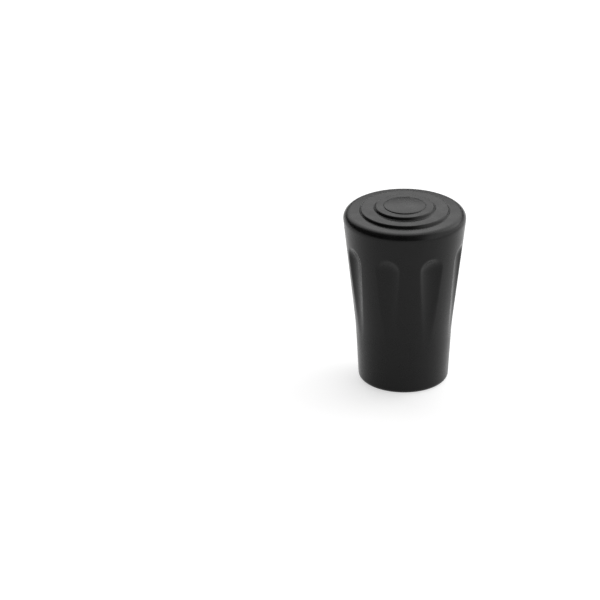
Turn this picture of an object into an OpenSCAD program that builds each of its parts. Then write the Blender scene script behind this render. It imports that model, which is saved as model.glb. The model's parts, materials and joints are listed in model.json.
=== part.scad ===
// Rubber tip for a trekking pole. It stands on its mouth, with +Z up the axis towards the ringed tread.
// Origin: centre of the mouth's end face. Units: mm.

/* [Body] */
// Widest diameter, at the rim of the tread
rim_diameter = 33; // [31:0.5:38]
// Height from the mouth to the outer ring of the tread
body_height = 48.8; // [47:0.1:56]
// Radius of the rounded edge between the wall and the tread
rim_rounding = 2; // [1:0.1:3]
// Outer diameter at the mouth, measured to its sharp corner
mouth_diameter = 24.2; // [22:0.1:25]
// Radius of the rounded edge at the mouth
mouth_rounding = 1.3; // [1:0.1:3]
// Height of the slim neck below the flare
neck_height = 16; // [12:0.1:16.6]
// Outer diameter at the top of the neck
neck_diameter = 26; // [25:0.1:27]

/* [Flutes] */
// Number of flutes round the flare
flute_count = 8; // [4:1:9]
// Radius of a flute's round bottom
flute_radius = 5.2; // [5:0.1:8]
// Depth of a flute at its deep end
flute_depth = 1.9; // [1.4:0.1:2.4]
// Height where a flute ends, below the rim
flute_top = 41.7; // [36:0.1:43]
// Height where a flute runs out into the neck
flute_foot = 16.7; // [16.6:0.1:22]
// Radius between a flute's bottom and its end wall
flute_end_rounding = 3.6; // [1:0.1:3.8]

/* [Bore] */
// Diameter of the blind hole that takes the pole's own tip
bore_diameter = 11; // [9:0.1:14]
// Depth of the hole
bore_depth = 36; // [24:0.5:42]
// Width of the lead-in chamfer at the mouth
bore_chamfer = 0.8; // [0.3:0.1:1.4]

/* [Tread] */
// Diameter of the lowest step
low_step_diameter = 24; // [20:0.1:27]
// Height of the lowest step
low_step_height = 0.7; // [0.4:0.05:1]
// Diameter of the middle step
mid_step_diameter = 16.1; // [13:0.1:19]
// Height of the middle step
mid_step_height = 0.75; // [0.4:0.05:1]
// Diameter of the centre disc
disc_diameter = 11.3; // [8:0.1:13.5]
// Height of the centre disc
disc_height = 0.45; // [0.4:0.05:0.8]
// Radius of the steps' edges
step_rounding = 0.35; // [0.1:0.05:0.38]

/* [Part] */
// Node to show

/* [Hidden] */
$fn = 96;
rim_r = rim_diameter / 2;
mouth_r = mouth_diameter / 2;
neck_r = neck_diameter / 2;
bore_r = bore_diameter / 2;
over = 1;

// Mouth rounding: circle that touches the end face and the neck's cone
neck_slope = (neck_r - mouth_r) / neck_height;
neck_hyp = sqrt(1 + neck_slope * neck_slope);
lip_x = mouth_r + neck_slope * mouth_rounding - mouth_rounding * neck_hyp;
lip_touch = [lip_x + mouth_rounding / neck_hyp, mouth_rounding - mouth_rounding * neck_slope / neck_hyp];

// Flare: line from the top of the neck that touches the rim's rounding
rim_c = [rim_r - rim_rounding, body_height - rim_rounding];
flare_v = rim_c - [neck_r, neck_height];
flare_l = norm(flare_v);
flare_angle = atan2(flare_v[1], flare_v[0]) - asin(rim_rounding / flare_l);
flare_run = sqrt(flare_l * flare_l - rim_rounding * rim_rounding);
rim_touch = [neck_r + flare_run * cos(flare_angle), neck_height + flare_run * sin(flare_angle)];
function flare_r(z) = neck_r + (z - neck_height) / tan(flare_angle);

// The flare's wall is drawn in bands of one slope, so that each face stays small
bands = 5;
function band_point(k) = let (z = neck_height + k * (flute_top + 2 - neck_height) / bands) [flare_r(z), z];

// Flute: its bottom runs straight from the foot to the deep end
flute_rise = flare_r(flute_top) - flute_depth - flare_r(flute_foot);
flute_run = flute_top - flute_foot;
flute_tilt = atan2(flute_rise, flute_run);
flute_len = norm([flute_rise, flute_run]);

module body_outline() {
    union() {
        polygon([
            [0, 0],
            [lip_x, 0],
            [lip_x, mouth_rounding],
            lip_touch,
            each [for (k = [0 : bands - 1]) band_point(k)],
            rim_touch,
            rim_c,
            [rim_c[0], body_height],
            [0, body_height]
        ]);
        translate([lip_x, mouth_rounding]) circle(r = mouth_rounding);
        translate(rim_c) circle(r = rim_rounding);
    }
}

module step_outline(r, h) {
    translate([0, -over]) square([r, h + over - step_rounding]);
    translate([0, -over]) square([r - step_rounding, h + over]);
    translate([r - step_rounding, h - step_rounding]) circle(r = step_rounding);
}

module tread_outline() {
    translate([0, body_height]) step_outline(low_step_diameter / 2, low_step_height);
    translate([0, body_height + low_step_height]) step_outline(mid_step_diameter / 2, mid_step_height);
    translate([0, body_height + low_step_height + mid_step_height])
        step_outline(disc_diameter / 2, disc_height);
}

module flute_outline() {
    corner = flute_radius - flute_end_rounding;
    translate([0, -4]) square([flute_radius, 4 + flute_len - flute_end_rounding]);
    translate([0, -4]) square([corner, 4 + flute_len]);
    // Only the outer quarter of the rounding is kept, so it may be wider than the core
    intersection() {
        translate([corner, flute_len - flute_end_rounding]) circle(r = flute_end_rounding);
        translate([corner, 0]) square([flute_end_rounding, flute_len]);
    }
}

module flute_cutter() {
    translate([flare_r(flute_foot), 0, flute_foot])
        rotate([0, flute_tilt, 0])
            translate([flute_radius, 0, 0])
                rotate_extrude() flute_outline();
}

module bore() {
    translate([0, 0, -over]) cylinder(h = bore_depth + over, r = bore_r);
    cylinder(h = bore_chamfer, r1 = bore_r + bore_chamfer, r2 = bore_r);
}

module rubber_tip() {
    color("#1c1c1c")
        difference() {
            rotate_extrude() {
                body_outline();
                tread_outline();
            }
            for (i = [0 : flute_count - 1])
                rotate([0, 0, i * 360 / flute_count])
                    flute_cutter();
            bore();
        }
}

rubber_tip();
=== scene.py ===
import json
import math
import bpy
import bmesh
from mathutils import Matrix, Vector


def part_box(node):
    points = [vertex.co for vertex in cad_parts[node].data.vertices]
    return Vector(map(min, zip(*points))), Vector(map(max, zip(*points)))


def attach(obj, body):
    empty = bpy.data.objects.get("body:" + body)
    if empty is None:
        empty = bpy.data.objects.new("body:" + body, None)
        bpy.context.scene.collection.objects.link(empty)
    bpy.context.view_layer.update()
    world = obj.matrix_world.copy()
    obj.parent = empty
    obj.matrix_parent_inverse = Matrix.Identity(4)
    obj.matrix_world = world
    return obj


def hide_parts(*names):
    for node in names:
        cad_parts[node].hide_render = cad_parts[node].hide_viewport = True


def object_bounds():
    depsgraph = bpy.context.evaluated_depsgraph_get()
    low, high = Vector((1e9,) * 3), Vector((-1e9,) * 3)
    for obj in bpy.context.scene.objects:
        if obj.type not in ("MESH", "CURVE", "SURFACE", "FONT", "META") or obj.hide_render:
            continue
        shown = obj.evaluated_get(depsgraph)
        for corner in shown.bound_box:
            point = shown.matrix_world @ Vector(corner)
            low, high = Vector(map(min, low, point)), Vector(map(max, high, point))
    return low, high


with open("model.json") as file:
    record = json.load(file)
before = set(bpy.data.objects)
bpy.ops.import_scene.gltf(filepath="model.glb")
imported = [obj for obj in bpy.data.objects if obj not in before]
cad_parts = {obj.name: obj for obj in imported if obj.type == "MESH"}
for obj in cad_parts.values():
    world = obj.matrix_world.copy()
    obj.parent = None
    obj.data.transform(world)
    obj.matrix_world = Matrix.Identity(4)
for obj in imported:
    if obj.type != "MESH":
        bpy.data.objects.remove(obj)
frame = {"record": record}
cadLow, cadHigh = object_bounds()      # the CAD model's box, before anything is added
mm = 0.001


def hexToLinear(text):
    channels = [int(text[i:i + 2], 16) / 255 for i in (1, 3, 5)]
    linear = [c / 12.92 if c <= 0.04045 else ((c + 0.055) / 1.055) ** 2.4 for c in channels]
    return (*linear, 1.0)


def addNode(tree, kind, settings=None, **links):
    # settings: values for sockets or, where no socket has the name, for the node itself
    # links: the output that feeds each socket, by the socket's name, or _0, _1 and so on by its place
    node = tree.nodes.new(kind)
    for key, value in (settings or {}).items():
        if isinstance(key, int) or key in node.inputs:
            node.inputs[key].default_value = value
        else:
            setattr(node, key, value)
    for key, source in links.items():
        place = int(key[1:]) if key[1:].isdigit() else key.replace("_", " ")
        tree.links.new(source, node.inputs[place])
    return node


def emptyTree(owner):
    owner.use_nodes = True
    owner.node_tree.nodes.clear()
    return owner.node_tree


# a long lens, standing back from the bench
cameraPlace = {
    "azimuth": -72.3,       # degrees from +X
    "elevation": 25.0,      # degrees above the bench
    "distance": 1.34979,    # metres from the tip's middle
    "lens": 300,            # mm
    "sensor": 36,           # mm
    "asideBy": -0.02807,    # metres by which the aim passes the tip's axis, to the right
    "aboveBy": -0.002705,   # metres by which it passes the tip's middle, upwards
}


def aim(turn, rise):
    # a direction by two angles in degrees: round from the camera's side, and above the bench
    turn, rise = math.radians(cameraPlace["azimuth"] + turn), math.radians(rise)
    return Vector((math.cos(turn) * math.cos(rise), math.sin(turn) * math.cos(rise), math.sin(rise)))


def placeCamera(place):
    back = aim(0, place["elevation"])
    right = aim(90, 0)
    up = back.cross(right)
    middle = (cadLow + cadHigh) / 2
    lensData = bpy.data.cameras.new("benchCamera")
    lensData.lens = place["lens"]
    lensData.sensor_width = place["sensor"]
    lensData.clip_start = 0.05
    lensData.clip_end = 50
    camera = bpy.data.objects.new("benchCamera", lensData)
    camera.location = middle + back * place["distance"] + right * place["asideBy"] + up * place["aboveBy"]
    camera.rotation_mode = "QUATERNION"
    camera.rotation_quaternion = back.to_track_quat("Z", "Y")
    bpy.context.scene.collection.objects.link(camera)
    bpy.context.scene.camera = camera


placeCamera(cameraPlace)
print("camera placed")


# the rubber tip: one turned form, with flutes pressed into its flare
tipSizes = {                    # mm, unless a note says otherwise
    "mouthDiameter": 24.2,      # at the sharp corner, before rounding
    "mouthRounding": 1.3,
    "neckHeight": 16,
    "neckDiameter": 26,
    "neckBlend": 80,            # radius that softens the bend from neck to flare
    "rimRounding": 2,
    "rimDrop": 0.11,            # how far the rim's rounding sits below the outer ring's plane
    "rimFall": 3,               # degrees that the outer ring falls away towards the rim
    "rimFallBlend": 12,         # radius that softens the start of that fall
    "steps": (                  # diameter, height, draft, rounding at the foot and at the lip
        (24, 0.7, 0.18, 0.35, 0.5),
        (16.1, 0.75, 0.2, 0.35, 0.5),
        (11.3, 0.2, 0.06, 0.12, 0.12),
    ),
    "discCrown": 0.25,          # how far the centre disc domes above its edge
    "boreDepth": 36,
    "boreFloorRounding": 0.5,
    "boreChamfer": 0.8,
    "boreEdge": 0.15,           # rounding of the chamfer's two edges
    "fluteCount": 8,
    "fluteRadius": 6.8,
    "fluteDepth": 1.5,
    "fluteTop": 42.5,
    "fluteFoot": 16.7,
    "fluteEndRounding": 5.6,    # how long the bottom takes to rise at the flute's upper end
    "fluteEdge": 0.28,          # how softly the wall turns into a flute, along its sides
    "fluteEndEdge": 0.6,        # and round its upper end
}
tipMesh = {
    "segments": 448,            # round the axis
    "rowHeight": 0.23,          # mm between rows on the flare, close enough for the flutes' edges
    "rowHold": 0.1,             # mm from a flat's end to the row that keeps it flat
    "flatLength": 1,            # mm, the shortest flat that gets such rows
    "flareLength": 20,          # mm, only the flare is longer than this above the neck
    "floorArc": 3,              # segments in each rounding
    "edgeArc": 2,
    "mouthArc": 8,
    "neckArc": 6,
    "rimArc": 12,
    "fallArc": 4,
    "footArc": 3,
    "lipArc": 4,
    "crownRows": (0.85, 0.7, 0.55, 0.4, 0.25, 0.12, 0),     # shares of the centre disc's radius
}


def roundCorner(bm, vertex, radius, segments):
    # replaces a profile's corner by an arc that touches both of its edges
    a, b = [(edge.other_vert(vertex).co - vertex.co).normalized() for edge in vertex.link_edges]
    reach = radius / math.tan(a.angle(b) / 2)
    bmesh.ops.bevel(bm, geom=[vertex], offset=reach, offset_type="ABSOLUTE", segments=segments,
                    profile=0.5, affect="VERTICES", material=-1, clamp_overlap=False)


def tipForm(sizes):
    # corners that follow from the box of the CAD tip and from the rim's rounding, in mm
    low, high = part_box("rubber_tip")
    rimR = (high.x - low.x) / 2 / mm
    bodyTop = high.z / mm - sizes["discCrown"] - sum(step[1] for step in sizes["steps"])
    neckR, neckTop = sizes["neckDiameter"] / 2, sizes["neckHeight"]
    rounding = sizes["rimRounding"]
    centre = Vector((rimR - rounding, bodyTop - rounding - sizes["rimDrop"]))
    toRim = centre - Vector((neckR, neckTop))
    # the flare's line starts at the neck's top and touches the rounding from outside
    lean = math.atan2(toRim.y, toRim.x) - math.asin(rounding / toRim.length)
    run = 1 / math.tan(lean)
    # the outer ring's falling line touches the rounding from above
    fall = math.radians(sizes["rimFall"])
    sine, cosine = math.sin(fall), math.cos(fall)
    ringLevel = rounding + cosine * centre.y + sine * centre.x
    cornerZ = (ringLevel + sine * (neckTop * run - neckR)) / (cosine + sine * run)
    cornerR = neckR + (cornerZ - neckTop) * run
    breakR = centre.x + (rounding - (bodyTop - centre.y) * cosine) / sine
    return {
        "bodyTop": bodyTop,
        "flareStart": (neckR, neckTop),
        "flareRun": run,        # mm outwards for each mm of height
        "rimCorner": (cornerR, cornerZ),
        "rimBreak": (breakR, bodyTop),
    }


def flareRadius(form, z):
    neckR, neckTop = form["flareStart"]
    return neckR + (z - neckTop) * form["flareRun"]


def tipProfile(bm, sizes, rows, form):
    # corners from the bore's floor, out over the mouth and up the wall, to the tread's middle
    boreR = frame["record"]["mounts"][0]["dims"]["r_mm"]
    chamfer = sizes["boreChamfer"]
    corners = [                 # radius from the axis, height, rounding, segments
        (0, sizes["boreDepth"], 0, 0),
        (boreR, sizes["boreDepth"], sizes["boreFloorRounding"], rows["floorArc"]),
        (boreR, chamfer, sizes["boreEdge"], rows["edgeArc"]),
        (boreR + chamfer, 0, sizes["boreEdge"], rows["edgeArc"]),
        (sizes["mouthDiameter"] / 2, 0, sizes["mouthRounding"], rows["mouthArc"]),
        (*form["flareStart"], sizes["neckBlend"], rows["neckArc"]),
        (*form["rimCorner"], sizes["rimRounding"], rows["rimArc"]),
        (*form["rimBreak"], sizes["rimFallBlend"], rows["fallArc"]),
    ]
    level = form["bodyTop"]
    for diameter, height, draft, foot, lip in sizes["steps"]:
        corners.append((diameter / 2 + draft, level, foot, rows["footArc"]))
        level += height
        corners.append((diameter / 2 - draft, level, lip, rows["lipArc"]))
    discR = sizes["steps"][-1][0] / 2
    for share in rows["crownRows"]:
        corners.append((share * discR, level + sizes["discCrown"] * (1 - share * share), 0, 0))
    verts = [bm.verts.new((r * mm, 0, z * mm)) for r, z, _, _ in corners]
    for a, b in zip(verts, verts[1:]):
        bm.edges.new((a, b))
    for vertex, (_, _, radius, segments) in zip(verts, corners):
        if radius:
            roundCorner(bm, vertex, radius * mm, segments)


def addRows(bm, rows, form):
    # the flare gets close rows for its flutes to bend; elsewhere a row near each end keeps flats flat
    neckTop = form["flareStart"][1] * mm
    for edge in list(bm.edges):
        ends = [v.co.copy() for v in edge.verts]
        length = edge.calc_length()
        if min(end.z for end in ends) > neckTop and length > rows["flareLength"] * mm:
            cuts = math.ceil(length / (rows["rowHeight"] * mm)) - 1
            bmesh.ops.subdivide_edges(bm, edges=[edge], cuts=cuts)
        elif length > rows["flatLength"] * mm:
            added = bmesh.ops.subdivide_edges(bm, edges=[edge], cuts=2)["geom_inner"]
            for v in [item for item in added if isinstance(item, bmesh.types.BMVert)]:
                end = min(ends, key=lambda place: (place - v.co).length)
                v.co = end + (v.co - end).normalized() * rows["rowHold"] * mm


def fluteDepthAt(sizes, form, angle, z):
    # how far inside the plain wall the flute's round bottom lies, in mm; negative outside it
    top, foot = sizes["fluteTop"], sizes["fluteFoot"]
    step = 2 * math.pi / sizes["fluteCount"]
    off = angle - step * round(angle / step)
    end = sizes["fluteEndRounding"]
    radius = sizes["fluteRadius"]
    past = z - (top - end)
    if past > end:
        return -end
    if past > 0:
        radius += math.sqrt(end * end - past * past) - end
    share = (z - foot) / (top - foot)
    wall = flareRadius(form, z)
    centre = wall - sizes["fluteDepth"] * share + sizes["fluteRadius"]
    across = centre * math.sin(off)
    if abs(across) >= radius:
        return -end
    return wall - (centre * math.cos(off) - math.sqrt(radius * radius - across * across))


def softEdge(depth, soft):
    # like max(depth, 0), with its corner rounded over a width of soft each way
    if abs(depth) < soft:
        return (depth + soft) ** 2 / (4 * soft)
    return max(depth, 0)


def pressFlutes(bm, sizes, form):
    lowest = form["flareStart"][1] - 4      # mm, the soft edge runs out a little below the flare
    highest = sizes["fluteTop"] + 1
    skin = 0.5      # mm inside the flare's line; anything deeper is the bore
    for v in bm.verts:
        z, r = v.co.z / mm, v.co.xy.length / mm
        if z < lowest or z > highest or r < flareRadius(form, z) - skin:
            continue
        nearEnd = min(max((z - sizes["fluteTop"]) / sizes["fluteEndRounding"] + 1, 0), 1)
        soft = sizes["fluteEdge"] + (sizes["fluteEndEdge"] - sizes["fluteEdge"]) * nearEnd
        depth = softEdge(fluteDepthAt(sizes, form, math.atan2(v.co.y, v.co.x), z), soft)
        v.co.xy *= (r - depth) / r


def buildTip(sizes, rows):
    form = tipForm(sizes)
    bm = bmesh.new()
    tipProfile(bm, sizes, rows, form)
    addRows(bm, rows, form)
    bmesh.ops.spin(bm, geom=bm.verts[:] + bm.edges[:], cent=(0, 0, 0), axis=(0, 0, 1), dvec=(0, 0, 0),
                   angle=2 * math.pi, steps=rows["segments"], use_merge=True, use_duplicate=False)
    bmesh.ops.remove_doubles(bm, verts=bm.verts[:], dist=0.001 * mm)    # closes the poles
    pressFlutes(bm, sizes, form)
    bmesh.ops.recalc_face_normals(bm, faces=bm.faces[:])
    for face in bm.faces:
        face.smooth = True
    mesh = bpy.data.meshes.new("mouldedTip")
    bm.to_mesh(mesh)
    bm.free()
    tip = bpy.data.objects.new("moulded_tip", mesh)
    bpy.context.scene.collection.objects.link(tip)
    print("tip:", len(mesh.vertices), "vertices,", len(mesh.polygons), "faces")
    return tip


# carbon-black rubber, compression moulded in a fine-blasted tool: near-black with a soft satin sheen
rubberLook = {
    "colour": "#101010",
    "paleColour": "#151515",
    "roughness": (0.25, 0.32),
    "mottle": 3.5,          # mm, size of the patches in which tone and sheen drift
    "specular": 0.19,       # weaker than smooth rubber, set under this light
    "grain": 0.35,          # mm, drawn coarser than a blasted tool leaves it, so that it shows
    "grainDepth": 0.004,    # mm
}


def mouldedRubber(look):
    material = bpy.data.materials.new("mouldedBlackRubber")
    tree = emptyTree(material)
    place = addNode(tree, "ShaderNodeTexCoord").outputs["Object"]
    mottle = addNode(tree, "ShaderNodeTexNoise", {"Scale": 1 / (look["mottle"] * mm), "Detail": 3.0},
                     Vector=place).outputs["Fac"]
    drift = addNode(tree, "ShaderNodeMapRange", {"From Min": 0.3, "From Max": 0.7},
                    Value=mottle).outputs["Result"]     # spreads the noise over the whole of 0 to 1
    tone = addNode(tree, "ShaderNodeMix", {
        "data_type": "RGBA",
        6: hexToLinear(look["colour"]),
        7: hexToLinear(look["paleColour"]),
    }, _0=drift).outputs[2]
    smoothest, roughest = look["roughness"]
    sheen = addNode(tree, "ShaderNodeMapRange", {"To Min": smoothest, "To Max": roughest},
                    Value=drift).outputs["Result"]
    grain = addNode(tree, "ShaderNodeTexNoise", {"Scale": 1 / (look["grain"] * mm), "Detail": 2.0},
                    Vector=place).outputs["Fac"]
    bump = addNode(tree, "ShaderNodeBump", {"Strength": 1.0, "Distance": look["grainDepth"] * mm},
                   Height=grain).outputs["Normal"]
    rubber = addNode(tree, "ShaderNodeBsdfPrincipled", {"IOR": 1.5, "Specular IOR Level": look["specular"]},
                     Base_Color=tone, Roughness=sheen, Normal=bump)
    addNode(tree, "ShaderNodeOutputMaterial", Surface=rubber.outputs["BSDF"])
    return material


tip = buildTip(tipSizes, tipMesh)
tip.data.materials.append(mouldedRubber(rubberLook))
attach(tip, "root")
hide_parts("rubber_tip")
print("rubber done")


# matt background paper, laid flat: one pale tone with no shine of its own
paperLook = {
    "radius": 6.0,          # metres, so that low views see paper too
    "clear": 0.01,          # mm that it lies below the tip, so that the two faces don't flicker
    "colour": "#c2c2c2",
    "lift": 0.63,           # added for the rays named below, so that the paper reads as white
    "liftedRays": ("Is Camera Ray", "Is Glossy Ray", "Is Transmission Ray"),
}


def buildPaper(look):
    bm = bmesh.new()
    bmesh.ops.create_circle(bm, cap_ends=True, segments=96, radius=look["radius"])
    bmesh.ops.translate(bm, verts=bm.verts[:], vec=(0, 0, cadLow.z - look["clear"] * mm))
    mesh = bpy.data.meshes.new("paper")
    bm.to_mesh(mesh)
    bm.free()
    paper = bpy.data.objects.new("paper", mesh)
    bpy.context.scene.collection.objects.link(paper)
    material = bpy.data.materials.new("mattBackgroundPaper")
    tree = emptyTree(material)
    matt = addNode(tree, "ShaderNodeBsdfDiffuse", {"Color": hexToLinear(look["colour"])})
    # the light that the paper throws on the tip isn't raised, and the tip's shadow stays on it
    paths = addNode(tree, "ShaderNodeLightPath")
    seen = paths.outputs[look["liftedRays"][0]]
    for name in look["liftedRays"][1:]:
        seen = addNode(tree, "ShaderNodeMath", {"operation": "MAXIMUM"},
                       _0=seen, _1=paths.outputs[name]).outputs[0]
    lift = addNode(tree, "ShaderNodeMath", {"operation": "MULTIPLY", 1: look["lift"]}, _0=seen).outputs[0]
    glow = addNode(tree, "ShaderNodeEmission", Strength=lift)
    both = addNode(tree, "ShaderNodeAddShader", _0=matt.outputs[0], _1=glow.outputs[0])
    addNode(tree, "ShaderNodeOutputMaterial", Surface=both.outputs[0])
    mesh.materials.append(material)


# a dim room with a low pale wall round it and two large soft lights, one behind and one at the side
# together they give a level surface about 0.97 of the light at which a colour shows as written
roomLook = {
    "room": 0.05,
    "wall": 1.0,
    "wallRise": (3.6, 4.6),     # degrees above and below the horizon at which the wall ends
    "panels": (
        # turn from the camera's side and rise, full inside one angle and gone at the other, strength,
        # and the rise over which the lower edge fades in, all in degrees but the strength
        {"turn": 165, "rise": 32, "inner": 30, "outer": 62, "glow": 2.3, "lowEdge": (16, 24)},
        {"turn": 85, "rise": 15, "inner": 25, "outer": 60, "glow": 1.8, "lowEdge": (0, 1)},
    ),
}


def buildRoom(look):
    world = bpy.data.worlds.new("studio")
    bpy.context.scene.world = world
    tree = emptyTree(world)
    way = addNode(tree, "ShaderNodeTexCoord").outputs["Generated"]     # in a world, the ray's direction
    height = addNode(tree, "ShaderNodeSeparateXYZ", {}, Vector=way).outputs["Z"]
    offLevel = addNode(tree, "ShaderNodeMath", {"operation": "ABSOLUTE"}, _0=height).outputs[0]
    wallFull, wallGone = [math.sin(math.radians(angle)) for angle in look["wallRise"]]
    wall = addNode(tree, "ShaderNodeMapRange", {
        "interpolation_type": "SMOOTHSTEP",
        "From Min": wallGone,
        "From Max": wallFull,
        "To Max": look["wall"],
    }, Value=offLevel).outputs["Result"]
    total = addNode(tree, "ShaderNodeMath", {"operation": "ADD", 1: look["room"]}, _0=wall).outputs[0]
    for panel in look["panels"]:
        full, gone = [math.cos(math.radians(panel[name])) for name in ("inner", "outer")]
        low, clear = [math.sin(math.radians(angle)) for angle in panel["lowEdge"]]
        toPanel = addNode(tree, "ShaderNodeVectorMath", {
            "operation": "DOT_PRODUCT",
            1: aim(panel["turn"], panel["rise"]),
        }, _0=way).outputs["Value"]
        glow = addNode(tree, "ShaderNodeMapRange", {
            "interpolation_type": "SMOOTHSTEP",
            "From Min": gone,
            "From Max": full,
            "To Max": panel["glow"],
        }, Value=toPanel).outputs["Result"]
        above = addNode(tree, "ShaderNodeMapRange", {
            "interpolation_type": "SMOOTHSTEP",
            "From Min": low,
            "From Max": clear,
        }, Value=height).outputs["Result"]
        total = addNode(tree, "ShaderNodeMath", {"operation": "MULTIPLY_ADD"},
                        _0=glow, _1=above, _2=total).outputs[0]
    air = addNode(tree, "ShaderNodeBackground", {"Color": (1, 1, 1, 1)}, Strength=total)
    addNode(tree, "ShaderNodeOutputWorld", Surface=air.outputs[0])


buildPaper(paperLook)
buildRoom(roomLook)
bpy.context.scene.view_settings.view_transform = "Standard"
print("paper and light done")
